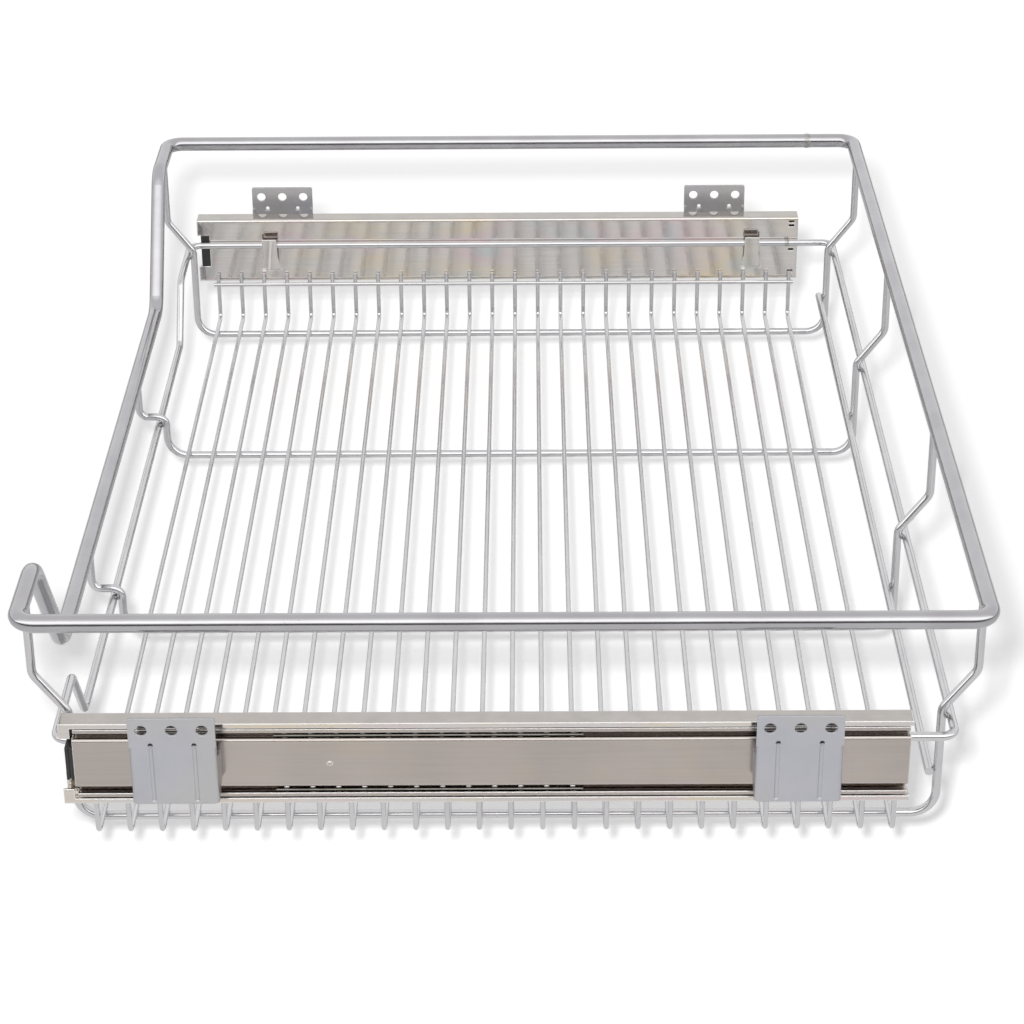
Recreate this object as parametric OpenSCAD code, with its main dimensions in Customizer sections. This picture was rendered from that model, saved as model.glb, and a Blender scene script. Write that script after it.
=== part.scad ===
// Pull-out wire basket for a kitchen cabinet, hung on two ball-bearing slides.
// X runs across the cabinet, -Y is the front (the basket pulls out that way), Z is up.
// The origin is under the middle of the basket, on the surface that its floor wires stand on.

/* [Cabinet] */
// Clear width between the two cabinet walls
cabinet_w = 764; // [664:1:964]
// Gap between the rim and each cabinet wall
side_gap = 19; // [17.5:0.5:24]

/* [Basket] */
// Depth of the rim from front to back, outside
basket_depth = 522; // [500:1:620]
// Height of the top of the rim
basket_h = 149; // [140:1:190]
// Height of the middle of the low front run of the rim
front_low_z = 62; // [50:1:72]
// Level length of the rim between a front corner and the slope down to the low run
rim_shoulder = 61; // [56:1:80]

/* [Rods and wires] */
// Diameter of the rim
rim_d = 10; // [8:0.5:12]
// Bend radius of the four corners of the rim
rim_bend = 11; // [9:1:20]
// Bend radius of the dip in the front run of the rim
dip_bend = 20; // [14:1:24]
// Diameter of the four frame wires
frame_d = 5; // [4:0.5:6]
// Bend radius where a frame wire turns from the floor to an upright
frame_bend = 14; // [8:1:18]
// Diameter of the ring that hangs in the hooks
ring_d = 5; // [4:0.5:6]
// Bend radius of the ring
ring_bend = 8; // [6:1:12]
// Diameter of the cross wires of the floor
cross_d = 3; // [2.5:0.5:4]
// Bend radius where a cross wire turns up
cross_bend = 5; // [3:1:10]
// Diameter of the two side tie wires
side_tie_d = 3; // [2.5:0.5:4]
// Diameter of the back tie wire
back_tie_d = 5; // [4:0.5:6]

/* [Frame wires] */
// Distance between the two middle frame wires
inner_frames = 242; // [200:1:290]
// Distance of an outer frame wire from the side run of the ring
frame_inset = 22; // [18:1:28]
// How far the uprights stand in from the rim
jog_out = 18; // [15:0.5:21]
// How far above the middle of the ring the jogs start
jog_above_ring = 4.5; // [4:0.5:8]
// Bend radius of the jogs under the rim
jog_bend = 9; // [6:1:12]
// Height of the level stretch over the ring at the front of the middle frame wires
hook_z = 32; // [29:0.5:36]
// Bend radius at both ends of that stretch
hook_bend = 6; // [5:0.5:8]
// How far the back tie wire stands above the floor
back_tie_z = 31; // [22:1:45]

/* [Floor] */
// Number of cross wires
cross_count = 26; // [20:1:26]
// Distance from the front uprights to the first cross wire
cross_front_gap = 14.8; // [10:0.1:30]
// Distance from the last cross wire to the rear uprights
cross_back_gap = 26.2; // [18:0.1:40]
// Height of the upturned ends of the cross wires
cross_tip_z = 42.5; // [36:0.5:44]
// Height of the side tie wires
side_tie_z = 35; // [20:0.5:38]
// Free space between the ends of the cross wires and the slides
cross_gap = 0.5; // [0.3:0.1:1.5]

/* [Hanging ring] */
// Height of the ring
ring_z = 66; // [64:0.5:70]
// Level length of the ring between a front corner and the slope down to its low run
ring_shoulder = 66; // [60:1:80]
// Space left where the two ends of a rim or ring rod meet
butt_gap = 0.05; // [0.02:0.01:0.2]
// Distance of that joint from the rear corner
butt_from_corner = 34; // [30:1:60]

/* [Slides] */
// Length of the slides
slide_l = 455; // [400:1:500]
// Height of a slide
slide_h = 50; // [48:1:56]
// Thickness of a slide
slide_t = 13; // [12.5:0.1:15]
// Sheet of the three channels
sheet = 1.4; // [1.2:0.1:1.5]
// Distance from the middle of the front run of the rim to the front end of the slides
slide_set_in = 18.5; // [14:0.5:30]
// Height of the ring above the middle of the slides
ring_above_slide = 5.5; // [4:0.5:10]
// Height of the lips at the mouth of the outer channel
outer_lip = 2.9; // [2.4:0.1:3.2]
// Outside bend radius of the outer channel
channel_bend = 2; // [1.8:0.1:3]
// Diameter of the balls that carry the outer channel
outer_ball_d = 3.5; // [3.2:0.1:4]
// Diameter of the balls that run on the inner channel
inner_ball_d = 4; // [3.6:0.1:4.4]
// How deep the balls sit in their races
race_depth = 0.15; // [0.1:0.05:0.3]
// Running clearance of the balls
ball_play = 0.05; // [0.02:0.01:0.1]
// Free space between the webs of two channels that run in each other
web_gap = 1.8; // [1.6:0.1:2.4]
// Free space between the lips of the outer and the middle channel
lip_gap = 0.9; // [0.5:0.1:1.2]
// How far the mouth of the middle channel lies inside that of the outer channel
mouth_set_back = 0.4; // [0.3:0.1:0.8]
// Depth of the inner channel's side walls
inner_wall = 6; // [5:0.5:6.5]
// How far the middle channel stands back from the front end
middle_set_back = 7.5; // [7:0.5:12]
// How far the inner channel stands back from the front end
inner_set_back = 6.7; // [6.5:0.1:7]
// How far the middle channel ends before the rear end
middle_rear_gap = 1.5; // [0.5:0.5:6]
// How far the inner channel ends before the rear end
inner_rear_gap = 1; // [0.5:0.5:6]
// Free space round the tabs that close the races at the front end
tab_play = 0.7; // [0.4:0.1:0.9]
// Sheet of the ball cages
cage_sheet = 0.8; // [0.6:0.1:0.9]
// Free space between a cage and the channel beside it
cage_play = 0.5; // [0.4:0.05:0.6]
// Number of balls in a row
ball_count = 12; // [8:1:14]
// Distance between the balls of a row
ball_pitch = 14; // [10:0.5:16]
// Distance from the last ball of a row to the end of its cage
cage_end = 5.5; // [4:0.5:10]
// Front end of the inner cages behind the front end of the slides
inner_cage_set_back = 114.5; // [114.5:0.5:180]
// Front end of the outer cages behind the front end of the slides
outer_cage_set_back = 140; // [120:0.5:180]

/* [Hooks] */
// Width of a hook
hook_w = 11; // [9:0.5:14]
// Width of the foot of a hook
hook_foot_w = 16; // [14:0.5:20]
// Length of a hook
hook_l = 25; // [22:0.5:28]
// Height of the ring above the root of a hook
hook_drop = 17; // [15:0.5:19]
// Free space on each side of the ring in a hook
hook_play = 0.15; // [0.05:0.05:0.4]
// Distance of the front hooks from the front end of the slides
hook_front = 55; // [40:0.5:80]
// Distance of the rear hooks from the rear end of the slides
hook_rear = 35; // [25:0.5:60]

/* [Marks of the press tools] */
// Length of the small slots at the rear end of the outer channel
slot_l = 4; // [3:0.5:6]
// Height of these slots
slot_h = 1.8; // [1.2:0.1:2.4]
// Distance of these slots from the rear end
slot_from_rear = 3; // [2:0.5:8]
// Distance of the first slot from the inside of the outer channel
slot_margin = 2; // [1.5:0.1:3]
// Distance from the first slot to the second
slot_step = 3.2; // [2.8:0.1:6]
// Radius of the pip on the inner channel
pip_r = 1.6; // [1:0.1:3]
// Distance of the pip from the front end of the slide
pip_from_front = 144; // [110:1:200]

/* [Bumpers] */
// Depth of the notch in the front end of the outer channel
notch_l = 9; // [7:0.5:11]
// Height of the notch
notch_h = 25; // [22:0.5:30]
// How far the ears of the bumper reach above and below the notch
ear_reach = 3; // [2:0.5:4]
// Distance from the front end of the slide to the bumper
bumper_set_back = 2.5; // [1:0.5:3]
// Height of the bumper
bumper_h = 20; // [16:0.5:21]
// Free space between the bumper and the pieces round it
bumper_play = 0.2; // [0.1:0.05:0.4]

/* [Brackets] */
// Distance of the slide from the cabinet wall
bracket_depth = 18; // [17:0.5:24]
// Width of a bracket
bracket_w = 46; // [44:1:60]
// Height of the top of a bracket above the middle of the slide
bracket_top = 39.5; // [38:0.5:48]
// Distance of the bottom of a bracket below the middle of the slide
bracket_bottom = 13.5; // [12:0.5:20]
// Sheet of the brackets
bracket_sheet = 1.5; // [1.2:0.1:2]
// Outside bend radius of a bracket
bracket_bend = 2.5; // [2.2:0.1:3]
// Height above the middle of the slide up to which the side edges of a bracket are bent over
edge_top = 23; // [21:0.5:24]
// Width of the bent edge between the plate's bend and its rim
edge_l = 1; // [0.5:0.5:2]
// How far a leg widens upwards from its foot to the bent edge
leg_flare = 5; // [3:0.5:6]
// Diameter of the screw holes
screw_d = 6.5; // [5:0.1:7]
// Distance between the screw holes
screw_pitch = 16; // [15:0.5:18]
// Height of the screw holes above the middle of the slide
screw_z = 32; // [30:0.5:34]
// Distance of a rib from the middle of the bracket
rib_from_middle = 11.5; // [10:0.5:14]
// Width of the groove of a rib on the cabinet side
rib_w = 2.6; // [2:0.1:3.4]
// How far a rib is pressed in
rib_depth = 0.8; // [0.4:0.1:1]
// Distance of the ends of the ribs from the bottom and the top of the bent edges
rib_margin = 2.5; // [1.5:0.5:5]
// Diameter of the small hole at the top of each rib
rib_hole_d = 2.8; // [2:0.1:3.5]
// Radius of the top corners of a bracket
plate_corner = 1.5; // [0.5:0.5:4]
// Width of a foot, with the sheet of its leg
foot_w = 13; // [12:0.5:16]
// Height of a foot
foot_h = 17; // [15:1:20]
// Radius of the corners of a foot
foot_corner = 4; // [2:0.5:6]
// Diameter of the rivets in the feet
rivet_d = 4; // [3:0.5:4.5]
// Diameter of the rivet heads
rivet_head_d = 6; // [5.5:0.5:6.5]
// Distance from the front end of the slide to the middle of the front bracket
bracket_from_front = 63; // [50:1:90]
// Distance from the rear end of the slide to the middle of the rear bracket
bracket_from_rear = 62; // [45:1:90]

/* [Hidden] */
$fn = 48;
function two_digits(i) = str(i < 10 ? "0" : "", i);
function frame_wire_name(i) = str("frame_wire_", i);
function cross_wire_name(i) = str("cross_wire_", two_digits(i));
SIDES = ["left", "right"];
function sign_of(side) = side == "left" ? -1 : 1;
SLIDE_PIECES = ["outer_channel", "middle_channel", "inner_channel", "outer_cage", "inner_cage",
  "outer_balls", "inner_balls", "bumper", "bracket_front", "bracket_rear", "bracket_rivets"];

chrome = [0.83, 0.84, 0.87];
zinc = [0.72, 0.69, 0.65];
blue_zinc = [0.66, 0.69, 0.75];
steel = [0.78, 0.78, 0.8];
black = [0.12, 0.12, 0.12];
cut = 1;                     // how far a cutting shape runs past what it cuts
slope_run = 3;               // every slanted wire goes 3 along
slope_rise = 4;              // for 4 up or down

// Slides, measured from the outside face of the outer channel's web towards the cabinet wall
web_x = cabinet_w / 2 - bracket_depth - slide_t;
slide_z = ring_z - ring_above_slide;
middle_web_x = sheet + web_gap;
outer_race_h = slide_h / 2 - sheet;
outer_ball_z = outer_race_h + race_depth - outer_ball_d / 2;
middle_outside = outer_ball_z - outer_ball_d / 2 + race_depth;
middle_inside = middle_outside - sheet;
inner_ball_z = middle_inside + race_depth - inner_ball_d / 2;
inner_outside = inner_ball_z - inner_ball_d / 2 + race_depth;
middle_mouth = slide_t - mouth_set_back;
outer_cage_x = sheet + (web_gap - cage_sheet) / 2;
outer_cage_mouth = middle_mouth - sheet - cage_play;
inner_cage_x = slide_t - inner_wall - cage_play - cage_sheet;
inner_cage_mouth = slide_t - cage_sheet;
outer_ball_x = (middle_web_x + outer_cage_mouth) / 2;
inner_ball_x = (inner_cage_x + slide_t) / 2;
cage_l = (ball_count - 1) * ball_pitch + 2 * cage_end;
hook_places = [hook_front, slide_l - hook_rear];

// Brackets, measured from the face of the inner channel towards the cabinet wall
bracket_places = [bracket_from_front, slide_l - bracket_from_rear];
foot_y = (bracket_w - foot_w) / 2;
rib_r = (pow(rib_w / 2, 2) + rib_depth * rib_depth) / (2 * rib_depth);
rib_out = rib_r - rib_depth;

// Basket, as centre lines
rim_x = cabinet_w / 2 - side_gap - rim_d / 2;
rim_y = basket_depth / 2 - rim_d / 2;
rim_z = basket_h - rim_d / 2;
upright_y = rim_y - jog_out;
jog_rise = jog_out * slope_rise / slope_run;
jog_z = ring_z + jog_above_ring;
floor_z = frame_d / 2;
hook_room = ring_d / 2 + hook_play;
ring_x = web_x - hook_room;
ring_y = upright_y + (frame_d + ring_d) / 2;
ring_low_z = hook_z - hook_bend;
outer_frame_x = ring_x - frame_inset;
inner_frame_x = inner_frames / 2;
cross_x = web_x - cross_gap - cross_d / 2;
cross_z = frame_d + cross_d / 2;
first_cross_y = cross_front_gap - upright_y;
last_cross_y = upright_y - cross_back_gap;
cross_pitch = (last_cross_y - first_cross_y) / (cross_count - 1);
slide_front_y = slide_set_in - rim_y;

// ---- Bent wire --------------------------------------------------------------------------
// A path is a list of corners [x, y, z, bend radius]. Each straight stretch and each bend is
// drawn in the frame of the one before it, so their round end faces meet exactly.

function at(path, i) = [path[i][0], path[i][1], path[i][2]];
function unit(v) = v / norm(v);
function way(path, i) = unit(at(path, i + 1) - at(path, i));
function turn(path, i) = acos(way(path, i - 1) * way(path, i));
function hinge(path, i) = unit(cross(way(path, i - 1), way(path, i)));
function is_end(path, i) = i == 0 || i == len(path) - 1;
function setback(path, i) = is_end(path, i) ? 0 : path[i][3] * tan(turn(path, i) / 2);
function stretch(path, i) =
  norm(at(path, i + 1) - at(path, i)) - setback(path, i) - setback(path, i + 1);

// Angle between the planes of two bends, which lie square or parallel: a whole number of degrees
function roll(path, i) = i == 1 ? 0 :
  let (before = hinge(path, i - 1), after = hinge(path, i))
  round(atan2(cross(before, after) * way(path, i - 1), before * after));

// One bend from the origin, starting along +Z and leaning towards +X
module bend(d, r, angle) {
  size = 2 * (r + d);
  intersection() {
    translate([r, 0, 0]) rotate([90, 0, 0]) rotate_extrude() translate([r, 0]) circle(d = d);
    translate([-d, -d, 0]) cube([size, 2 * d, size]);
    translate([r, 0, 0]) rotate([0, angle, 0]) translate([-r - d, -d, -size]) cube([size, 2 * d, size]);
  }
}

module wire_from(path, d, i) {
  cylinder(d = d, h = stretch(path, i));
  if (i < len(path) - 2)
    translate([0, 0, stretch(path, i)]) rotate([0, 0, roll(path, i + 1)]) {
      r = path[i + 1][3];
      angle = turn(path, i + 1);
      bend(d, r, angle);
      translate([r, 0, 0]) rotate([0, angle, 0]) translate([-r, 0, 0]) wire_from(path, d, i + 1);
    }
}

module wire(path, d) {
  z = way(path, 0);
  y = hinge(path, 1);
  x = cross(y, z);
  start = at(path, 0);
  multmatrix([
    [x[0], y[0], z[0], start[0]],
    [x[1], y[1], z[1], start[1]],
    [x[2], y[2], z[2], start[2]],
    [0, 0, 0, 1]
  ]) wire_from(path, d, 0);
}

// Path of a closed loop with a dip in its front run. Its ends meet in the left side run.
function dipped_loop(x, y, z, low_z, shoulder, bend, dip_bend) =
  let (
    joint_y = y - butt_from_corner,
    top_x = x - shoulder,
    low_x = top_x - (z - low_z) * slope_run / slope_rise
  ) [
    [-x, joint_y, z, 0],
    [-x, -y, z, bend],
    [-top_x, -y, z, dip_bend],
    [-low_x, -y, low_z, dip_bend],
    [low_x, -y, low_z, dip_bend],
    [top_x, -y, z, dip_bend],
    [x, -y, z, bend],
    [x, y, z, bend],
    [-x, y, z, bend],
    [-x, joint_y + butt_gap, z, 0]
  ];

// ---- Basket -----------------------------------------------------------------------------

module rim() color(chrome)
  wire(dipped_loop(rim_x, rim_y, rim_z, front_low_z, rim_shoulder, rim_bend, dip_bend), rim_d);

module hanging_ring() color(chrome)
  wire(dipped_loop(ring_x, ring_y, ring_z, ring_low_z, ring_shoulder, ring_bend, ring_bend), ring_d);

// The straight runs of the rim, which the ends of the frame wires are shaped to
module rim_run(y, z)
  translate([-rim_x, y, z]) rotate([0, 90, 0]) cylinder(d = rim_d, h = 2 * rim_x);

function rear_leg(x) = [
  [x, rim_y, rim_z, 0],
  [x, rim_y, jog_z + jog_rise, jog_bend],
  [x, upright_y, jog_z, jog_bend],
  [x, upright_y, floor_z, frame_bend]
];

function high_front_leg(x) = [
  [x, -upright_y, floor_z, frame_bend],
  [x, -upright_y, jog_z, jog_bend],
  [x, -rim_y, jog_z + jog_rise, jog_bend],
  [x, -rim_y, rim_z, 0]
];

function low_front_leg(x) = [
  [x, -upright_y, floor_z, frame_bend],
  [x, -upright_y, hook_z, hook_bend],
  [x, -rim_y, hook_z, hook_bend],
  [x, -rim_y, front_low_z, 0]
];

module outer_frame_wire(x) color(chrome) difference() {
  wire(concat(rear_leg(x), high_front_leg(x)), frame_d);
  rim_run(rim_y, rim_z);
  rim_run(-rim_y, rim_z);
}

module inner_frame_wire(x) color(chrome) difference() {
  wire(concat(rear_leg(x), low_front_leg(x)), frame_d);
  rim_run(rim_y, rim_z);
  rim_run(-rim_y, front_low_z);
}

module frame_wire(i) {
  if (i == 1) outer_frame_wire(-outer_frame_x);
  if (i == 2) inner_frame_wire(-inner_frame_x);
  if (i == 3) inner_frame_wire(inner_frame_x);
  if (i == 4) outer_frame_wire(outer_frame_x);
}

module cross_wire(i) color(chrome)
  translate([0, first_cross_y + (i - 1) * cross_pitch, 0]) wire([
    [-cross_x, 0, cross_tip_z, 0],
    [-cross_x, 0, cross_z, cross_bend],
    [cross_x, 0, cross_z, cross_bend],
    [cross_x, 0, cross_tip_z, 0]
  ], cross_d);

module side_tie_wire(side) color(chrome) {
  x = side * (cross_x - (cross_d + side_tie_d) / 2);
  overhang = cross_d;
  translate([x, first_cross_y - overhang, side_tie_z]) rotate([-90, 0, 0])
    cylinder(d = side_tie_d, h = last_cross_y - first_cross_y + 2 * overhang);
}

module back_tie_wire() color(chrome) {
  reach = outer_frame_x + frame_d / 2;
  y = upright_y - (frame_d + back_tie_d) / 2;
  translate([-reach, y, back_tie_z]) rotate([0, 90, 0]) cylinder(d = back_tie_d, h = 2 * reach);
}

// ---- Slides -----------------------------------------------------------------------------
// Everything here is drawn for the right slide, with x = 0 on the face that looks at the basket,
// y = 0 at the front end and z = 0 at mid height. on_side() puts it in place.

module on_side(side)
  mirror([side < 0 ? 1 : 0, 0, 0]) translate([web_x, slide_front_y, slide_z]) children();

// Turns a section drawn in x and z into a bar from y = from to y = to
module bar(from, to)
  translate([0, to, 0]) rotate([90, 0, 0]) linear_extrude(to - from) children();

module rounded_block(depth, h, r) {
  translate([r, -h / 2]) square([depth - r, h]);
  translate([0, r - h / 2]) square([depth, h - 2 * r]);
  for (half = [-1, 1]) translate([r, half * (h / 2 - r)]) circle(r = r);
}

// C section: web at x = 0, open towards +x
module channel(depth, h, t, r) difference() {
  rounded_block(depth, h, r);
  translate([t, 0]) rounded_block(depth, h - 2 * t, r - t);
}

module race(x, z, ball_d)
  for (half = [-1, 1]) translate([x, half * z]) circle(d = ball_d + 2 * ball_play);

// The lips at the mouth of a channel, from z = low to z = high above and below mid height
module lips(mouth, low, high) for (half = [-1, 1])
  translate([mouth - sheet / 2, half * (low + high) / 2]) square([sheet, high - low], center = true);

module outer_section() {
  difference() {
    channel(slide_t, slide_h, sheet, channel_bend);
    race(outer_ball_x, outer_ball_z, outer_ball_d);
  }
  lips(slide_t, slide_h / 2 - outer_lip, outer_race_h + sheet / 2);
}

module middle_section() {
  difference() {
    translate([middle_web_x, 0])
      channel(middle_mouth - middle_web_x, 2 * middle_outside, sheet, channel_bend);
    race(outer_ball_x, outer_ball_z, outer_ball_d);
    race(inner_ball_x, inner_ball_z, inner_ball_d);
  }
  lips(middle_mouth, middle_inside + sheet / 2, slide_h / 2 - outer_lip - lip_gap);
}

module inner_section() difference() {
  translate([slide_t, 0]) mirror([1, 0]) channel(inner_wall, 2 * inner_outside, sheet, channel_bend);
  race(inner_ball_x, inner_ball_z, inner_ball_d);
}

// The tongue leans out so that it and the web hold the ring between them
module hook() {
  lean = 2 * atan(hook_room / hook_drop);
  root_z = ring_above_slide - hook_drop;
  out = hook_l * sin(lean);
  rise = hook_l * cos(lean);
  thick = sheet / cos(lean);
  base = sheet / sin(lean);
  narrow_z = root_z + hook_l / 3;
  intersection() {
    bar(-hook_foot_w / 2, hook_foot_w / 2) polygon([
      [0, root_z], [-out, root_z + rise], [-out - thick, root_z + rise], [0, root_z - base]
    ]);
    rotate([90, 0, 90]) translate([0, 0, -out - 2 * thick]) linear_extrude(out + 3 * thick) polygon([
      [-hook_foot_w / 2, root_z - base], [hook_foot_w / 2, root_z - base], [hook_w / 2, narrow_z],
      [hook_w / 2, root_z + rise], [-hook_w / 2, root_z + rise], [-hook_w / 2, narrow_z]
    ]);
  }
}

module hook_window()
  translate([-cut, -hook_w / 2, ring_above_slide - hook_drop]) cube([sheet + 2 * cut, hook_w, hook_l]);

// Four small slots through the web near the rear end
module punched_slots() {
  first = outer_race_h - slot_margin;
  second = first - slot_step;
  for (z = [first, second, -slot_h / 2, -second])
    translate([-cut, slide_l - slot_from_rear - slot_l, z - slot_h / 2])
      cube([sheet + 2 * cut, slot_l, slot_h]);
}

// Tabs folded over the front ends of the races, which the middle channel closes against
module end_tabs() {
  bar(0, inner_set_back - tab_play) lips(slide_t, inner_outside + tab_play, outer_race_h + sheet / 2);
}

module outer_channel(side) color(zinc) on_side(side) {
  difference() {
    bar(0, slide_l) outer_section();
    translate([-cut, -cut, -notch_h / 2]) cube([sheet + 2 * cut, notch_l + cut, notch_h]);
    for (y = hook_places) translate([0, y, 0]) hook_window();
    punched_slots();
  }
  end_tabs();
  for (y = hook_places) translate([0, y, 0]) hook();
}

module middle_channel(side) color(zinc) on_side(side)
  bar(middle_set_back, slide_l - middle_rear_gap) middle_section();

module bracket_places() for (y = bracket_places) translate([0, y, 0]) children();

module foot_places() for (y = [-foot_y, foot_y]) translate([slide_t, y, 0]) children();

module inner_channel(side) color(zinc) on_side(side) {
  difference() {
    bar(inner_set_back, slide_l - inner_rear_gap) inner_section();
    bracket_places() foot_places() translate([-sheet - cut, 0, 0]) rotate([0, 90, 0])
      cylinder(d = rivet_d, h = sheet + 2 * cut);
  }
  translate([slide_t - pip_r / 2, pip_from_front, 0]) sphere(r = pip_r);
}

// A cage is a strip folded to a U, with a row of ball pockets in each side
module cage(x, mouth, z, ball_x, ball_d, from) {
  strip_h = 2 * z + cage_sheet;
  cage_bend = 1.5 * cage_sheet;
  difference() {
    bar(from, from + cage_l) translate([x, 0]) channel(mouth - x, strip_h, cage_sheet, cage_bend);
    for (i = [0:ball_count - 1]) translate([ball_x, from + cage_end + i * ball_pitch, -z - cut])
      cylinder(d = ball_d + 2 * ball_play, h = 2 * (z + cut));
  }
}

module balls(ball_x, z, ball_d, from)
  for (i = [0:ball_count - 1], half = [-1, 1])
    translate([ball_x, from + cage_end + i * ball_pitch, half * z]) sphere(d = ball_d);

module outer_cage(side) color(steel) on_side(side)
  cage(outer_cage_x, outer_cage_mouth, outer_ball_z, outer_ball_x, outer_ball_d, outer_cage_set_back);

module inner_cage(side) color(steel) on_side(side)
  cage(inner_cage_x, inner_cage_mouth, inner_ball_z, inner_ball_x, inner_ball_d, inner_cage_set_back);

module outer_balls(side) color(steel) on_side(side)
  balls(outer_ball_x, outer_ball_z, outer_ball_d, outer_cage_set_back);

module inner_balls(side) color(steel) on_side(side)
  balls(inner_ball_x, inner_ball_z, inner_ball_d, inner_cage_set_back);

// The bumper sits in the notch, with two ears behind the web and a groove across its face
module bumper(side) color(black) on_side(side) {
  body_end = inner_set_back - bumper_play;
  body_l = body_end - bumper_set_back;
  tongue_h = notch_h - 2 * bumper_play;
  tongue_l = notch_l - bumper_play - bumper_set_back;
  ear_h = notch_h + 2 * ear_reach;
  groove_w = body_l / 4;
  groove_x = slide_t - 2 * bumper_play - groove_w;
  groove_y = bumper_set_back + (body_l - groove_w) / 2;
  difference() {
    union() {
      translate([0, bumper_set_back, -bumper_h / 2]) cube([slide_t - bumper_play, body_l, bumper_h]);
      translate([0, bumper_set_back, -tongue_h / 2]) cube([sheet, tongue_l, tongue_h]);
      translate([sheet, bumper_set_back, -ear_h / 2]) cube([sheet, body_l, ear_h]);
    }
    translate([groove_x, groove_y, -bumper_h / 2 - cut])
      cube([groove_w + 2 * cut, groove_w, bumper_h + 2 * cut]);
  }
}

// ---- Brackets ---------------------------------------------------------------------------
// Drawn like the slides, with y = 0 at the middle of the bracket

module on_bracket(y) translate([slide_t, y, 0]) children();

// A round pin through the sheet at height x, for the holes
module through_sheet(x, y, z, d)
  translate([x, y, z]) rotate([0, 90, 0]) cylinder(d = d, h = 2 * (bracket_sheet + cut), center = true);

// Side view of a bracket: full depth only beside the feet, and a narrow bent edge elsewhere
module leg_outline() {
  edge_x = bracket_depth - bracket_bend - edge_l;
  polygon([
    [-cut, -foot_h / 2], [-cut, foot_h / 2], [bracket_sheet, foot_h / 2],
    [edge_x, foot_h / 2 + leg_flare], [edge_x, edge_top + cut], [bracket_depth + cut, edge_top + cut],
    [bracket_depth + cut, -bracket_bottom - cut], [edge_x, -bracket_bottom - cut],
    [bracket_sheet, -foot_h / 2]
  ]);
}

module bracket_hat() intersection() {
  translate([bracket_depth, 0, -bracket_bottom]) linear_extrude(edge_top + bracket_bottom)
    mirror([1, 0]) channel(bracket_depth, bracket_w, bracket_sheet, bracket_bend);
  rotate([90, 0, 0]) linear_extrude(2 * bracket_w, center = true) leg_outline();
}

// The plate above the bent edges, which holds the screws
module bracket_plate() difference() {
  half_w = bracket_w / 2 - plate_corner;
  low = edge_top - bracket_sheet;
  translate([bracket_depth - bracket_sheet, 0, 0]) rotate([90, 0, 90]) linear_extrude(bracket_sheet) {
    translate([-bracket_w / 2, low]) square([bracket_w, bracket_top - low - plate_corner]);
    translate([-half_w, low]) square([2 * half_w, bracket_top - low]);
    for (y = [-half_w, half_w]) translate([y, bracket_top - plate_corner]) circle(r = plate_corner);
  }
  for (i = [-1:1]) through_sheet(bracket_depth, i * screw_pitch, screw_z, screw_d);
}

// A foot is bent in from the end of its leg and lies flat on the inner channel
module bracket_foot(side) {
  inner = bracket_w / 2 - foot_w;
  outer = (bracket_w - bracket_sheet) / 2;
  high = foot_h / 2;
  difference() {
    rotate([90, 0, 90]) linear_extrude(bracket_sheet) mirror([side < 0 ? 1 : 0, 0]) {
      translate([inner + foot_corner, -high]) square([outer - inner - foot_corner, foot_h]);
      translate([inner, foot_corner - high]) square([outer - inner, foot_h - 2 * foot_corner]);
      for (z = [foot_corner - high, high - foot_corner])
        translate([inner + foot_corner, z]) circle(r = foot_corner);
    }
    through_sheet(0, side * foot_y, 0, rivet_d);
  }
}

// A rib is a round-ended groove on the cabinet side and a ridge on the slide side.
// Its centre line lies outside the plate, so that only rib_w of it cuts the face.
module rib_bar(y, r) {
  low = rib_margin - bracket_bottom;
  high = edge_top - rib_margin;
  translate([bracket_depth + rib_out, y, low]) {
    cylinder(r = r, h = high - low);
    sphere(r = r);
    translate([0, 0, high - low]) sphere(r = r);
  }
}

module rib_ridge(y) intersection() {
  rib_bar(y, rib_r + bracket_sheet);
  translate([0, y - bracket_w / 2, -bracket_bottom])
    cube([bracket_depth - bracket_sheet / 2, bracket_w, edge_top + bracket_bottom]);
}

module bracket(side, y) color(blue_zinc) on_side(side) on_bracket(y) difference() {
  union() {
    bracket_hat();
    bracket_plate();
    for (end = [-1, 1]) {
      bracket_foot(end);
      rib_ridge(end * rib_from_middle);
    }
  }
  for (end = [-1, 1]) {
    rib_bar(end * rib_from_middle, rib_r);
    through_sheet(bracket_depth, end * rib_from_middle, edge_top, rib_hole_d);
  }
}

module bracket_front(side) bracket(side, bracket_places[0]);
module bracket_rear(side) bracket(side, bracket_places[1]);

// Each rivet goes through a foot and the face of the inner channel
module rivet() {
  head_h = rivet_head_d / 5;
  tail_h = sheet / 2;
  cap_r = (pow(rivet_head_d / 2, 2) + head_h * head_h) / (2 * head_h);
  rotate([0, 90, 0]) rotate_extrude() {
    translate([0, -sheet - tail_h]) square([rivet_head_d / 2, tail_h]);
    translate([0, -sheet - tail_h / 2]) square([rivet_d / 2, tail_h + sheet + bracket_sheet]);
    intersection() {
      translate([0, bracket_sheet + head_h - cap_r]) circle(r = cap_r);
      translate([0, bracket_sheet]) square([rivet_head_d, 2 * head_h]);
    }
  }
}

module bracket_rivets(side) color(steel) on_side(side) bracket_places() foot_places() rivet();

// ---- Pieces -----------------------------------------------------------------------------

rim();
hanging_ring();
back_tie_wire();
for (i = [1:4]) frame_wire(i);
for (i = [1:cross_count]) cross_wire(i);
for (s = SIDES) {
  side_tie_wire(sign_of(s));
  outer_channel(sign_of(s));
  middle_channel(sign_of(s));
  inner_channel(sign_of(s));
  outer_cage(sign_of(s));
  inner_cage(sign_of(s));
  outer_balls(sign_of(s));
  inner_balls(sign_of(s));
  bumper(sign_of(s));
  bracket_front(sign_of(s));
  bracket_rear(sign_of(s));
  bracket_rivets(sign_of(s));
}
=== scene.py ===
import math
import random

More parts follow.
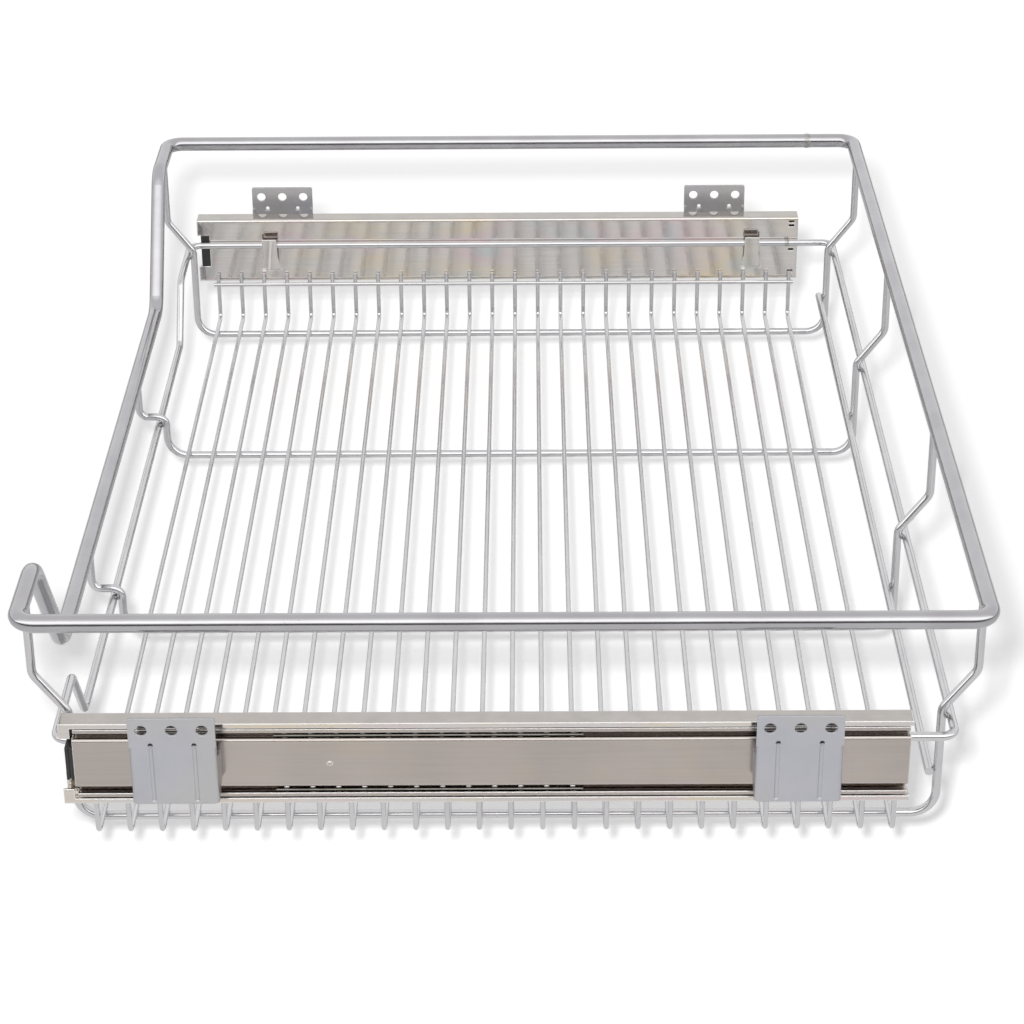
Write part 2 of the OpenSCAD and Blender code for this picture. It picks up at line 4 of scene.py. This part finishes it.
import bpy
from mathutils import Matrix, Vector


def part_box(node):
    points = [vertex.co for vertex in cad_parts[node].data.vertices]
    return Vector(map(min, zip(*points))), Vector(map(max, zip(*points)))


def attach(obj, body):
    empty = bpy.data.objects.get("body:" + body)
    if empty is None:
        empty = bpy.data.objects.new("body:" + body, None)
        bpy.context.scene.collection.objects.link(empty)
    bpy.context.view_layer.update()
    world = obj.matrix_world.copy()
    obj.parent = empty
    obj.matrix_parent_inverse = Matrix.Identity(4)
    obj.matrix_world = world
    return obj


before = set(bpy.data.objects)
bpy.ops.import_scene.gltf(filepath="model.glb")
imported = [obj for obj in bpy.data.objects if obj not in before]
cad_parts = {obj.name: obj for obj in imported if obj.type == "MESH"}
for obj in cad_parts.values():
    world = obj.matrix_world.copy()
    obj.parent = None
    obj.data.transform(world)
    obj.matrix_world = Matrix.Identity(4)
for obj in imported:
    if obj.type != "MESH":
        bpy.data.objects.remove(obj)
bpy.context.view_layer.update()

# Everything is in metres in the CAD's frame: X across the cabinet, -Y the front, Z up.
# The camera looks along -X, so the slide at +X is the near one.

RIM_R = 0.005
RING_R = 0.0025
BODY = "basket"


# ---- Camera --------------------------------------------------------------------------------

CAMERA_AT = Vector((1.6305, 0.0152, 0.8794))
CAMERA_LENS = 98.789
CAMERA_SENSOR = 36
CAMERA_REACH = 50
CAMERA_DOWN = math.radians(27.789)
CAMERA_YAW = math.radians(-0.459)
CAMERA_ROLL = math.radians(-0.477)


def add_camera():
    """The camera of the photograph, beyond the right-hand slide, looking across the basket."""
    level = math.cos(CAMERA_DOWN)
    forward = Vector((-level * math.cos(CAMERA_YAW), level * math.sin(CAMERA_YAW),
                      -math.sin(CAMERA_DOWN)))
    right = Vector((math.sin(CAMERA_YAW), math.cos(CAMERA_YAW), 0))
    up = right.cross(forward)
    rolled_right = right * math.cos(CAMERA_ROLL) + up * math.sin(CAMERA_ROLL)
    rolled_up = up * math.cos(CAMERA_ROLL) - right * math.sin(CAMERA_ROLL)
    data = bpy.data.cameras.new("camera")
    data.lens = CAMERA_LENS
    data.sensor_width = CAMERA_SENSOR
    data.clip_end = CAMERA_REACH
    camera = bpy.data.objects.new("camera", data)
    bpy.context.scene.collection.objects.link(camera)
    turn = Matrix((rolled_right, rolled_up, -forward)).transposed().to_4x4()
    camera.matrix_world = Matrix.Translation(CAMERA_AT) @ turn
    bpy.context.scene.camera = camera


# ---- Node trees ----------------------------------------------------------------------------

BEVEL_SAMPLES = 6
EDGE_TURN = (0.02, 0.35)   # how far a normal has to turn to count as an edge, from first to full
MIX_FACTOR, MIX_A, MIX_B, MIX_RESULT = 0, 6, 7, 2   # the colour sockets of a Mix node


class Nodes:
    """A node tree written from the inside out: a call adds its nodes and returns an output."""

    def __init__(self, owner):
        owner.use_nodes = True
        self.tree = owner.node_tree
        self.tree.nodes.clear()

    def fill(self, socket, value):
        """Links an output to the socket, or sets a constant on it."""
        if isinstance(value, bpy.types.NodeSocket):
            self.tree.links.new(value, socket)
        else:
            socket.default_value = value

    def put(self, kind, inputs, **settings):
        """Adds one node and returns the node itself."""
        made = self.tree.nodes.new("ShaderNode" + kind)
        for name, value in settings.items():
            setattr(made, name, value)
        for name, value in inputs.items():
            self.fill(made.inputs[name], value)
        return made

    def place(self, scale=(1, 1, 1)):
        """The point on the object in metres, stretched by scale."""
        here = self.put("TexCoord", {}).outputs["Object"]
        return self.put("Mapping", {"Vector": here, "Scale": scale}).outputs["Vector"]

    def noise(self, scale, detail, stretch=(1, 1, 1), roughness=0.5):
        """Noise with scale waves to the metre."""
        made = self.put("TexNoise", {
            "Vector": self.place(stretch), "Scale": scale, "Detail": detail,
            "Roughness": roughness})
        return made.outputs["Fac"]

    def cells(self, scale, output):
        """Cells, scale of them to the metre."""
        made = self.put("TexVoronoi", {"Vector": self.place(), "Scale": scale}, feature="F1")
        return made.outputs[output]

    def span(self, value, low, high, to_low=0, to_high=1):
        """Maps low..high to to_low..to_high, clamped."""
        made = self.put("MapRange", {
            "Value": value, "From Min": low, "From Max": high,
            "To Min": to_low, "To Max": to_high}, interpolation_type="LINEAR")
        return made.outputs["Result"]

    def math(self, operation, a, b):
        return self.put("Math", {0: a, 1: b}, operation=operation).outputs[0]

    def blend(self, factor, a, b):
        """The colour a where factor is 0 and b where it is 1."""
        made = self.put("Mix", {}, data_type="RGBA", blend_type="MIX")
        for index, value in ((MIX_FACTOR, factor), (MIX_A, a), (MIX_B, b)):
            self.fill(made.inputs[index], value)
        return made.outputs[MIX_RESULT]

    def ramp(self, value, stops):
        """The colours of stops, each a (position, colour), along value from 0 to 1."""
        made = self.put("ValToRGB", {"Fac": value})
        band = made.color_ramp
        while len(band.elements) < len(stops):
            band.elements.new(0.5)
        for element, (position, tint) in zip(band.elements, stops):
            element.position = position
            element.color = tint
        return made.outputs["Color"]

    def bump(self, height, distance, normal=None):
        """A normal roughened by height, where 1 stands distance metres high."""
        inputs = {"Height": height, "Distance": distance, "Strength": 1}
        if normal:
            inputs["Normal"] = normal
        return self.put("Bump", inputs).outputs["Normal"]

    def rounded(self, radius):
        """The normal of the piece as if its edges were rounded."""
        return self.put("Bevel", {"Radius": radius}, samples=BEVEL_SAMPLES).outputs["Normal"]

    def plain(self):
        """The normal of the piece as it is."""
        return self.put("NewGeometry", {}).outputs["Normal"]

    def edges(self, radius):
        """1 along the edges of a piece and 0 on its faces."""
        apart = self.put("VectorMath", {0: self.rounded(radius), 1: self.plain()},
                         operation="DISTANCE").outputs["Value"]
        return self.span(apart, *EDGE_TURN)

    def rays(self):
        """1 for what the camera sees, straight or through glass, and 1 for what gloss mirrors."""
        path = self.put("LightPath", {})
        seen = self.math("MAXIMUM", path.outputs["Is Camera Ray"],
                         path.outputs["Is Transmission Ray"])
        return seen, path.outputs["Is Glossy Ray"]

    def end(self, shader, kind="Material"):
        """Links the shader to the tree's output node."""
        out = self.tree.nodes.new("ShaderNodeOutput" + kind)
        self.tree.links.new(shader, out.inputs["Surface"])


def new_material(name):
    material = bpy.data.materials.new(name)
    return material, Nodes(material)


def grey(value):
    return (value, value, value, 1)


def colour(r, g, b):
    return (r, g, b, 1)


# ---- Materials -----------------------------------------------------------------------------

FULL_METAL = 1.0
BRACKET_METAL = 0.55        # passivation dulls the brackets, so that they aren't a mirror
STRIP_ANISOTROPY = 0.3

CHROME_PIT = grey(0.16)
CHROME_HAZE = 2.1           # how much rougher chrome is where it is hazy
STEEL_HAZE = 1.9
OIL_TINT = (0.78, 0.76, 0.70)

ALONG_SLIDE = (1, 0.02, 1)  # stretches a pattern along Y, the way the strip was rolled
ZINC_STREAK = grey(0.3)
# Partly wear, partly painted highlight: the near-white tint along the slides' edges, so that they
# gleam as white lines.
ZINC_WORN_EDGE_AND_HIGHLIGHT = colour(0.90, 0.88, 0.86)
RAINBOW = [(0.30, colour(0.62, 0.62, 0.56)), (0.42, colour(0.74, 0.62, 0.44)),
           (0.50, colour(0.68, 0.60, 0.55)), (0.58, colour(0.70, 0.55, 0.56)),
           (0.68, colour(0.56, 0.60, 0.61))]

BRACKET_TINT = (colour(0.475, 0.472, 0.51), colour(0.44, 0.445, 0.485))
BRACKET_WARM = colour(0.475, 0.465, 0.455)
BRACKET_FLAKE = colour(0.53, 0.535, 0.56)
BRACKET_EDGE = colour(0.56, 0.565, 0.59)

WELD_TINT = (colour(0.47, 0.46, 0.45), colour(0.36, 0.345, 0.33))
PLASTIC_TINT = (grey(0.012), grey(0.021))
PLASTIC_EDGE = grey(0.06)


def chrome(name, base, dull, rough):
    """Bright chrome plate: soft waves in the steel below it, fine haze and a few pin holes."""
    material, n = new_material(name)
    cloud = n.span(n.noise(38, 3), 0.35, 0.65)
    tint = n.blend(cloud, base, dull)
    pits = n.span(n.cells(420, "Distance"), 0.0, 0.16, 1, 0)
    rare = n.span(n.noise(160, 1), 0.6, 0.68)
    tint = n.blend(n.math("MULTIPLY", pits, rare), tint, CHROME_PIT)
    haze = n.span(n.noise(120, 4, roughness=0.7), 0.3, 0.75, rough, rough * CHROME_HAZE)
    waves = n.bump(n.noise(70, 2), 0.00012)
    grain = n.bump(n.noise(1500, 2), 0.000012, normal=waves)
    n.end(n.put("BsdfPrincipled", {
        "Base Color": tint, "Metallic": FULL_METAL, "Roughness": haze,
        "Normal": grain}).outputs[0])
    return material


def weld_chrome():
    """Plated weld: rougher than the wires and uneven, slightly yellow where the heat was."""
    material, n = new_material("weld_chrome")
    cloud = n.span(n.noise(300, 3), 0.35, 0.65)
    tint = n.blend(cloud, *WELD_TINT)
    haze = n.span(n.noise(700, 4), 0.3, 0.7, 0.16, 0.34)
    lumps = n.bump(n.noise(900, 3), 0.00015)
    n.end(n.put("BsdfPrincipled", {
        "Base Color": tint, "Metallic": FULL_METAL, "Roughness": haze,
        "Normal": lumps}).outputs[0])
    return material


def rolled_zinc(name, base, dull, painted_top_shade, rainbow, smooth, rough):
    """Zinc-plated strip: lines along the slide, edges painted near white as wear and painted
    highlight, tints of its passivation, and painted shade on faces that look up.

    painted_top_shade is a darker tint painted on faces that look up, as painted shade so that
    they mirror the bright sky less, rainbow the share of the passivation's tints, and
    smooth and rough are the least and the most roughness."""
    material, n = new_material(name)
    streaks = n.noise(900, 3, ALONG_SLIDE)
    broad = n.span(n.noise(24, 3, (1, 0.35, 1)), 0.3, 0.7)
    tint = n.blend(broad, base, dull)
    tint = n.blend(n.span(streaks, 0.35, 0.65, 0, 0.16), tint, ZINC_STREAK)
    bands = n.ramp(n.noise(11, 2, (1, 1.2, 3.2)), RAINBOW)
    patches = n.span(n.noise(17, 2), 0.4, 0.62, 0, rainbow)
    tint = n.blend(patches, tint, bands)
    # Painted shade: faces that look up are tinted darker, mottled by noise, so that they mirror
    # the bright sky less.
    upward = n.put("SeparateXYZ", {"Vector": n.plain()}).outputs["Z"]
    painted_top_shade_mask = n.math("MULTIPLY", n.span(upward, 0.6, 0.95),
                  n.span(n.noise(90, 4), 0.3, 0.7, 0.75, 1))
    tint = n.blend(painted_top_shade_mask, tint, painted_top_shade)
    # Painted highlight, partly wear: the edges turn near white so that their gleam shows as a
    # white line.
    tint = n.blend(n.edges(0.0009), tint, ZINC_WORN_EDGE_AND_HIGHLIGHT)
    haze = n.span(n.noise(60, 4, (1, 0.2, 1)), 0.3, 0.7, smooth, rough)
    lines = n.bump(streaks, 0.000006, normal=n.rounded(0.0014))
    n.end(n.put("BsdfPrincipled", {
        "Base Color": tint, "Metallic": FULL_METAL, "Roughness": haze, "Normal": lines,
        "Anisotropic": STRIP_ANISOTROPY}).outputs[0])
    return material


def bracket_zinc():
    """Blue-passivated zinc with a faint crystal pattern, brighter along its cut edges."""
    material, n = new_material("bracket_zinc")
    flake = n.put("SeparateColor", {"Color": n.cells(240, "Color")}).outputs[0]
    cloud = n.span(n.noise(45, 3), 0.3, 0.7)
    tint = n.blend(cloud, *BRACKET_TINT)
    tint = n.blend(n.span(n.noise(16, 2), 0.45, 0.62, 0, 0.8), tint, BRACKET_WARM)
    tint = n.blend(n.span(flake, 0, 1, 0, 0.14), tint, BRACKET_FLAKE)
    tint = n.blend(n.edges(0.0005), tint, BRACKET_EDGE)
    rough = n.span(flake, 0, 1, 0.34, 0.42)
    skin = n.bump(n.noise(1300, 3), 0.000006, normal=n.rounded(0.0007))
    n.end(n.put("BsdfPrincipled", {
        "Base Color": tint, "Metallic": BRACKET_METAL, "Roughness": rough,
        "Normal": skin}).outputs[0])
    return material


def steel(name, base, rough, grain):
    """Bright steel with fine scratches, grain metres deep, and thin oil on it."""
    material, n = new_material(name)
    oiled = colour(*(part * share for part, share in zip(base, OIL_TINT)))
    tint = n.blend(n.span(n.noise(260, 3), 0.4, 0.65), base, oiled)
    haze = n.span(n.noise(800, 3), 0.3, 0.7, rough, rough * STEEL_HAZE)
    scratches = n.bump(n.noise(1800, 2, (1, 0.15, 1)), grain)
    n.end(n.put("BsdfPrincipled", {
        "Base Color": tint, "Metallic": FULL_METAL, "Roughness": haze,
        "Normal": scratches}).outputs[0])
    return material


def moulded_plastic():
    """Black moulded plastic with a fine spark texture and edges rubbed slightly grey."""
    material, n = new_material("bumper_plastic")
    cloud = n.span(n.noise(200, 3), 0.3, 0.7)
    tint = n.blend(cloud, *PLASTIC_TINT)
    tint = n.blend(n.edges(0.0005), tint, PLASTIC_EDGE)
    rough = n.span(n.noise(900, 3), 0.3, 0.7, 0.38, 0.55)
    skin = n.bump(n.noise(2600, 2), 0.00004, normal=n.rounded(0.0004))
    n.end(n.put("BsdfPrincipled", {
        "Base Color": tint, "Roughness": rough, "Normal": skin}).outputs[0])
    return material


def dress_nodes():
    """Gives every CAD node its finish, by the slot that the record names."""
    finishes = {
        "rim_chrome": chrome("rim_chrome", colour(0.48, 0.473, 0.488),
                             colour(0.437, 0.429, 0.446), 0.085),
        "wire_chrome": chrome("wire_chrome", colour(0.64, 0.635, 0.645),
                              colour(0.59, 0.585, 0.60), 0.12),
        "bracket_zinc": bracket_zinc(),
        "rivet_steel": steel("rivet_steel", colour(0.52, 0.51, 0.50), 0.16, 0.00002),
        "cage_steel": steel("cage_steel", colour(0.40, 0.38, 0.35), 0.22, 0.00002),
        "ball_steel": steel("ball_steel", colour(0.56, 0.55, 0.54), 0.06, 0.000004),
        "bumper_plastic": moulded_plastic(),
    }
    # The tints given for faces that look up are painted shade.
    outer = rolled_zinc(
        "outer_zinc", base=colour(0.71, 0.685, 0.662), dull=colour(0.65, 0.625, 0.602),
        painted_top_shade=colour(0.44, 0.417, 0.395), rainbow=0.7, smooth=0.05, rough=0.10)
    face = rolled_zinc(
        "slide_zinc", base=colour(0.48, 0.43, 0.40), dull=colour(0.445, 0.395, 0.365),
        painted_top_shade=colour(0.42, 0.38, 0.355), rainbow=0.16, smooth=0.12, rough=0.20)
    for name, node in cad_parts.items():
        for place in node.material_slots:
            slot = place.material.name.split(".")[0]
            if slot == "slide_zinc":
                place.material = outer if name.startswith("outer_channel") else face
            else:
                place.material = finishes[slot]


# ---- Welds ---------------------------------------------------------------------------------

WELD_SIDES = 20
WELD_LEVELS = 6
WELD_SEEDS = {"welds_floor": 11, "welds_side_ties": 12, "welds_frames": 13, "welds_rim": 14,
              "welds_butt_joints": 15}
WOBBLE_WAVES = (1, 2, 3)    # how many times each wave of a weld's unevenness goes round it

# Where two rods cross. A share is of a rod's radius, and an angle is in radians round a rod.
CROSS_WOBBLE = 0.12
CROSS_SINK = 0.985          # the share at which the fillet's rims lie, just inside the rods
CROSS_REACH = 0.95          # how far the fillet runs along the first rod
CROSS_OTHER_REACH = 0.9     # how far it runs along the other
CROSS_SPILL = 0.0003        # and this much further on both
CROSS_ANGLE_MAX = 1.0       # how far it goes round the first rod at most
CROSS_OTHER_ANGLE = 0.95    # how far it goes round the other
CROSS_WAIST = 0.26          # how far it draws in between the rods

# Where a post ends on a rod.
END_WOBBLE = 0.15
END_SIZE = 0.0014
END_SINK = 0.98             # the share of the post's radius at which the fillet meets it
END_BITE = 0.0001           # how deep its outer rim goes into the rod

# Where a rod's own two ends meet.
BUTT_WOBBLE = 0.05
BUTT_TOE = 0.15             # the share of the bulge by which the bead's rims lie inside the rod
BUTT_BACK = 0.034           # how far the joints lie in front of the rear run
RIM_BEAD = (0.005, 0.00035)     # the width and the bulge
RING_BEAD = (0.0035, 0.0003)


class Skin:
    """Collects the fillets of many welds in one mesh."""

    def __init__(self, name):
        self.name = name
        self.points = []
        self.faces = []
        self.random = random.Random(WELD_SEEDS[name])

    def wobble(self, amount):
        """Smooth uneven factors round a weld, near 1."""
        waves = [(k, self.random.uniform(-1, 1) * amount / k, self.random.uniform(0, math.tau))
                 for k in WOBBLE_WAVES]
        return [1 + sum(size * math.cos(k * math.tau * i / WELD_SIDES + phase)
                        for k, size, phase in waves)
                for i in range(WELD_SIDES)]

    def add(self, rings):
        """Joins the rings of points to a band."""
        first = len(self.points)
        for ring in rings:
            self.points.extend(ring)
        for level in range(len(rings) - 1):
            low, high = first + level * WELD_SIDES, first + (level + 1) * WELD_SIDES
            for i in range(WELD_SIDES):
                j = (i + 1) % WELD_SIDES
                self.faces.append((low + i, low + j, high + j, high + i))

    def build(self, material):
        mesh = bpy.data.meshes.new(self.name)
        mesh.from_pydata(self.points, [], self.faces)
        mesh.polygons.foreach_set("use_smooth", [True] * len(mesh.polygons))
        mesh.materials.append(material)
        piece = bpy.data.objects.new(self.name, mesh)
        bpy.context.scene.collection.objects.link(piece)
        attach(piece, BODY)


def crossing_weld(skin, touch, normal, axis, r, other_r):
    """The fillet where two rods cross and touch.

    The first rod runs along axis, and normal points from it to the other."""
    across = normal.cross(axis)
    centre = touch - normal * r
    other_centre = touch + normal * other_r
    reach = other_r * CROSS_REACH + CROSS_SPILL
    other_reach = min(r, other_r) * CROSS_OTHER_REACH + CROSS_SPILL
    angle = min(CROSS_ANGLE_MAX, other_reach / r)
    wobble = skin.wobble(CROSS_WOBBLE)
    rings = []
    for level in range(WELD_LEVELS + 1):
        t = level / WELD_LEVELS
        ring = []
        for i in range(WELD_SIDES):
            turn = math.tau * i / WELD_SIDES
            c, s = math.cos(turn) * wobble[i], math.sin(turn) * wobble[i]
            lean, other_lean = angle * s, CROSS_OTHER_ANGLE * c
            out = normal * math.cos(lean) + across * math.sin(lean)
            other_out = axis * math.sin(other_lean) - normal * math.cos(other_lean)
            below = centre + axis * (reach * c) + out * (r * CROSS_SINK)
            above = other_centre + across * (other_reach * s) + other_out * (
                other_r * CROSS_SINK)
            point = below.lerp(above, t)
            flat = point - touch
            flat -= normal * flat.dot(normal)
            ring.append(point - flat * (CROSS_WAIST * 4 * t * (1 - t)))
        rings.append(ring)
    skin.add(rings)


def end_weld(skin, centre, away, axis, r, post_r):
    """The fillet round a post that ends on a rod.

    centre is on the rod's axis, and away points from it along the post."""
    across = away.cross(axis)
    wobble = skin.wobble(END_WOBBLE)
    rings = []
    for level in range(WELD_LEVELS + 1):
        t = level / WELD_LEVELS
        ring = []
        for i in range(WELD_SIDES):
            turn = math.tau * i / WELD_SIDES
            out = axis * math.cos(turn) + across * math.sin(turn)
            wide = post_r + END_SIZE * wobble[i]
            inner_drop = math.sqrt(r * r - (post_r * math.sin(turn)) ** 2)
            outer_drop = math.sqrt(r * r - (wide * math.sin(turn)) ** 2)
            on_post = centre + out * (post_r * END_SINK) + away * (
                inner_drop + END_SIZE * wobble[i])
            corner = centre + out * post_r + away * inner_drop
            on_rod = centre + out * wide + away * (outer_drop - END_BITE)
            ring.append(on_post.lerp(corner, t).lerp(corner.lerp(on_rod, t), t))
        rings.append(ring)
    skin.add(rings)


def butt_weld(skin, centre, axis, r, width, bulge):
    """The raised bead round a rod where its two ends are welded together."""
    side = Vector((0, 0, 1))
    other = axis.cross(side)
    wobble = skin.wobble(BUTT_WOBBLE)
    rings = []
    steps = 2 * WELD_LEVELS
    for level in range(steps + 1):
        t = 2 * level / steps - 1
        ring = []
        for i in range(WELD_SIDES):
            turn = math.tau * i / WELD_SIDES
            rise = (1 + BUTT_TOE) * (1 - t * t) - BUTT_TOE
            high = r + bulge * rise * wobble[i]
            out = side * math.cos(turn) + other * math.sin(turn)
            ring.append(centre + out * high + axis * (t * width / 2 * wobble[i]))
        rings.append(ring)
    skin.add(rings)


def centre_and_radius(box, index):
    """Where a straight wire lies along the X, Y or Z of index, and its radius."""
    low, high = box
    return (low[index] + high[index]) / 2, (high[index] - low[index]) / 2


def at_front_and_back(number, high_z, dip_z):
    """The side (1 the back) and height at which a frame wire meets the rim or the ring.

    Both dip in front, where the two middle frame wires meet them."""
    return (1, high_z), (-1, high_z if number in (0, 3) else dip_z)


def add_welds():
    """Every weld of the basket, placed from the boxes of the wires that meet there."""
    material = weld_chrome()
    X, Y, Z = Vector((1, 0, 0)), Vector((0, 1, 0)), Vector((0, 0, 1))
    cross = [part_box(name) for name in sorted(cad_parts) if name.startswith("cross_wire")]
    frames = [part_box("frame_wire_%d" % i) for i in (1, 2, 3, 4)]
    ties = [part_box("side_tie_wire_left"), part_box("side_tie_wire_right")]
    ring_low, ring_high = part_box("hanging_ring")
    rim_low, rim_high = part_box("rim")
    back_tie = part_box("back_tie_wire")

    floor = Skin("welds_floor")
    tips = Skin("welds_side_ties")
    for wire in cross:
        y, r = centre_and_radius(wire, 1)
        for box in frames:
            x, frame_r = centre_and_radius(box, 0)
            crossing_weld(floor, Vector((x, y, wire[0][2])), Z, Y, frame_r, r)
        for box in ties:
            x, tie_r = centre_and_radius(box, 0)
            z, _ = centre_and_radius(box, 2)
            side = math.copysign(1, x)
            crossing_weld(tips, Vector((x + side * tie_r, y, z)), X * side, Y, tie_r, r)
    floor.build(material)
    tips.build(material)

    hung = Skin("welds_frames")
    ends = Skin("welds_rim")
    ring_y, ring_z = ring_high[1] - RING_R, ring_high[2] - RING_R
    ring_dip_z = ring_low[2] + RING_R
    rim_y, rim_z = rim_high[1] - RIM_R, rim_high[2] - RIM_R
    rim_dip_z = rim_low[2] + RIM_R
    back_z, back_r = centre_and_radius(back_tie, 2)
    for number, box in enumerate(frames):
        x, frame_r = centre_and_radius(box, 0)
        for side, z in at_front_and_back(number, ring_z, ring_dip_z):
            crossing_weld(hung, Vector((x, side * (ring_y - RING_R), z)), Y * side, Z,
                          frame_r, RING_R)
        crossing_weld(hung, Vector((x, back_tie[1][1], back_z)), -Y, Z, frame_r, back_r)
        for side, z in at_front_and_back(number, rim_z, rim_dip_z):
            end_weld(ends, Vector((x, side * rim_y, z)), -Z, X, RIM_R, frame_r)
    hung.build(material)
    ends.build(material)

    joints = Skin("welds_butt_joints")
    rim_x, ring_x = rim_low[0] + RIM_R, ring_low[0] + RING_R
    butt_weld(joints, Vector((rim_x, rim_y - BUTT_BACK, rim_z)), Y, RIM_R, *RIM_BEAD)
    butt_weld(joints, Vector((ring_x, ring_y - BUTT_BACK, ring_z)), Y, RING_R, *RING_BEAD)
    joints.build(material)


# ---- Studio --------------------------------------------------------------------------------

KEY_AT = Vector((1.634, -0.062, 0.992))   # just above the camera and to its left
KEY_SIZE = 0.09
KEY_SHARE = 0.85          # light on a face turned to it, where 1 shows a colour as written
SKY_SHARE = 0.22          # light from all round, in the same measure
FLOOR_Z = -0.05           # the basket hangs from the cabinet's walls, clear of the floor
FLOOR_RADIUS = 3.6
FLOOR_SIDES = 96
FLOOR_COLOUR = 0.8
FLOOR_MOTTLE = 0.01       # how much darker the floor is in places
FLOOR_GLOW = (0.63, 0.30)   # what lifts the open floor to white for the camera, far and near
FLOOR_GLOW_X = (-1.0, 1.2)  # where the floor has the far and the near glow
FLOOR_FADE = (0.85, 1.5)  # how far from the object the floor turns to plain white
FLOOR_GLOSS_GLOW = 0.25   # what lifts it in gloss, where white would wash out the metal
SHINE = 2.2               # the brightest part of what gloss mirrors
# What gloss mirrors, by its angle up from the near horizon: 0 is that horizon, 0.5 overhead
# and 1 the far horizon. The dark gap draws the dark line along each rod, and the soft panel
# above it the white line.
SHINE_STOPS = [(0.0, 0.06), (0.05, 0.05), (0.10, 0.30), (0.15, 0.95), (0.25, 1.0),
               (0.34, 0.62), (0.46, 0.43), (0.72, 0.43), (0.82, 0.47), (1.0, 0.47)]


def add_lamps():
    """One small soft lamp whose light doesn't weaken with distance.

    Gloss shows the panel of the world instead of it."""
    data = bpy.data.lights.new("key", "AREA")
    data.shape = "SQUARE"
    data.size = KEY_SIZE
    data.energy = KEY_SHARE * math.pi ** 2
    n = Nodes(data)
    even = n.put("LightFalloff", {"Strength": 1.0}).outputs["Constant"]
    n.end(n.put("Emission", {"Strength": even}).outputs[0], "Light")
    key = bpy.data.objects.new("key", data)
    aim = KEY_AT.to_track_quat("Z", "Y").to_matrix().to_4x4()
    key.matrix_world = Matrix.Translation(KEY_AT) @ aim
    bpy.context.scene.collection.objects.link(key)
    key.visible_camera = False
    key.visible_glossy = False


def add_world():
    """White for the camera, the stops of SHINE_STOPS in gloss, and weak even light besides."""
    world = bpy.data.worlds.new("studio")
    bpy.context.scene.world = world
    n = Nodes(world)
    split = n.put("SeparateXYZ", {"Vector": n.put("TexCoord", {}).outputs["Generated"]})
    height = n.math("ARCTAN2", split.outputs["Z"], split.outputs["X"])
    stops = [(at, grey(value)) for at, value in SHINE_STOPS]
    shine = n.math("MULTIPLY", n.ramp(n.span(height, 0, math.pi), stops), SHINE)
    seen, glossy = n.rays()
    strength = n.math("MAXIMUM", n.math("MULTIPLY", glossy, shine), seen)
    rest = n.math("SUBTRACT", 1.0, n.math("MAXIMUM", glossy, seen))
    strength = n.math("ADD", strength, n.math("MULTIPLY", rest, SKY_SHARE))
    n.end(n.put("Background", {"Color": grey(1), "Strength": strength}).outputs[0], "World")


def floor_paper():
    """Pale paper that takes the shadow, lifted to white where it is open."""
    material, n = new_material("floor")
    tint = n.blend(n.noise(6, 3), grey(FLOOR_COLOUR), grey(FLOOR_COLOUR - FLOOR_MOTTLE))
    seen, glossy = n.rays()
    near = n.put("SeparateXYZ", {"Vector": n.place()}).outputs["X"]
    away = n.put("VectorMath", {0: n.place()}, operation="LENGTH").outputs["Value"]
    white = n.math("MAXIMUM", n.span(near, *FLOOR_GLOW_X, *FLOOR_GLOW),
                   n.span(away, *FLOOR_FADE))
    lift = n.math("ADD", n.math("MULTIPLY", seen, white),
                  n.math("MULTIPLY", glossy, FLOOR_GLOSS_GLOW))
    paper = n.put("BsdfDiffuse", {"Color": tint}).outputs[0]
    glow = n.put("Emission", {"Color": grey(1), "Strength": lift}).outputs[0]
    n.end(n.put("AddShader", {0: paper, 1: glow}).outputs[0])
    return material


def add_floor():
    """A wide disc below the basket."""
    turns = [math.tau * i / FLOOR_SIDES for i in range(FLOOR_SIDES)]
    points = [(FLOOR_RADIUS * math.cos(turn), FLOOR_RADIUS * math.sin(turn), FLOOR_Z)
              for turn in turns]
    mesh = bpy.data.meshes.new("floor")
    mesh.from_pydata(points, [], [tuple(range(FLOOR_SIDES))])
    mesh.materials.append(floor_paper())
    floor = bpy.data.objects.new("floor", mesh)
    bpy.context.scene.collection.objects.link(floor)


add_camera()
add_world()
add_lamps()
add_floor()
dress_nodes()
add_welds()

bpy.context.scene.view_settings.view_transform = "Standard"
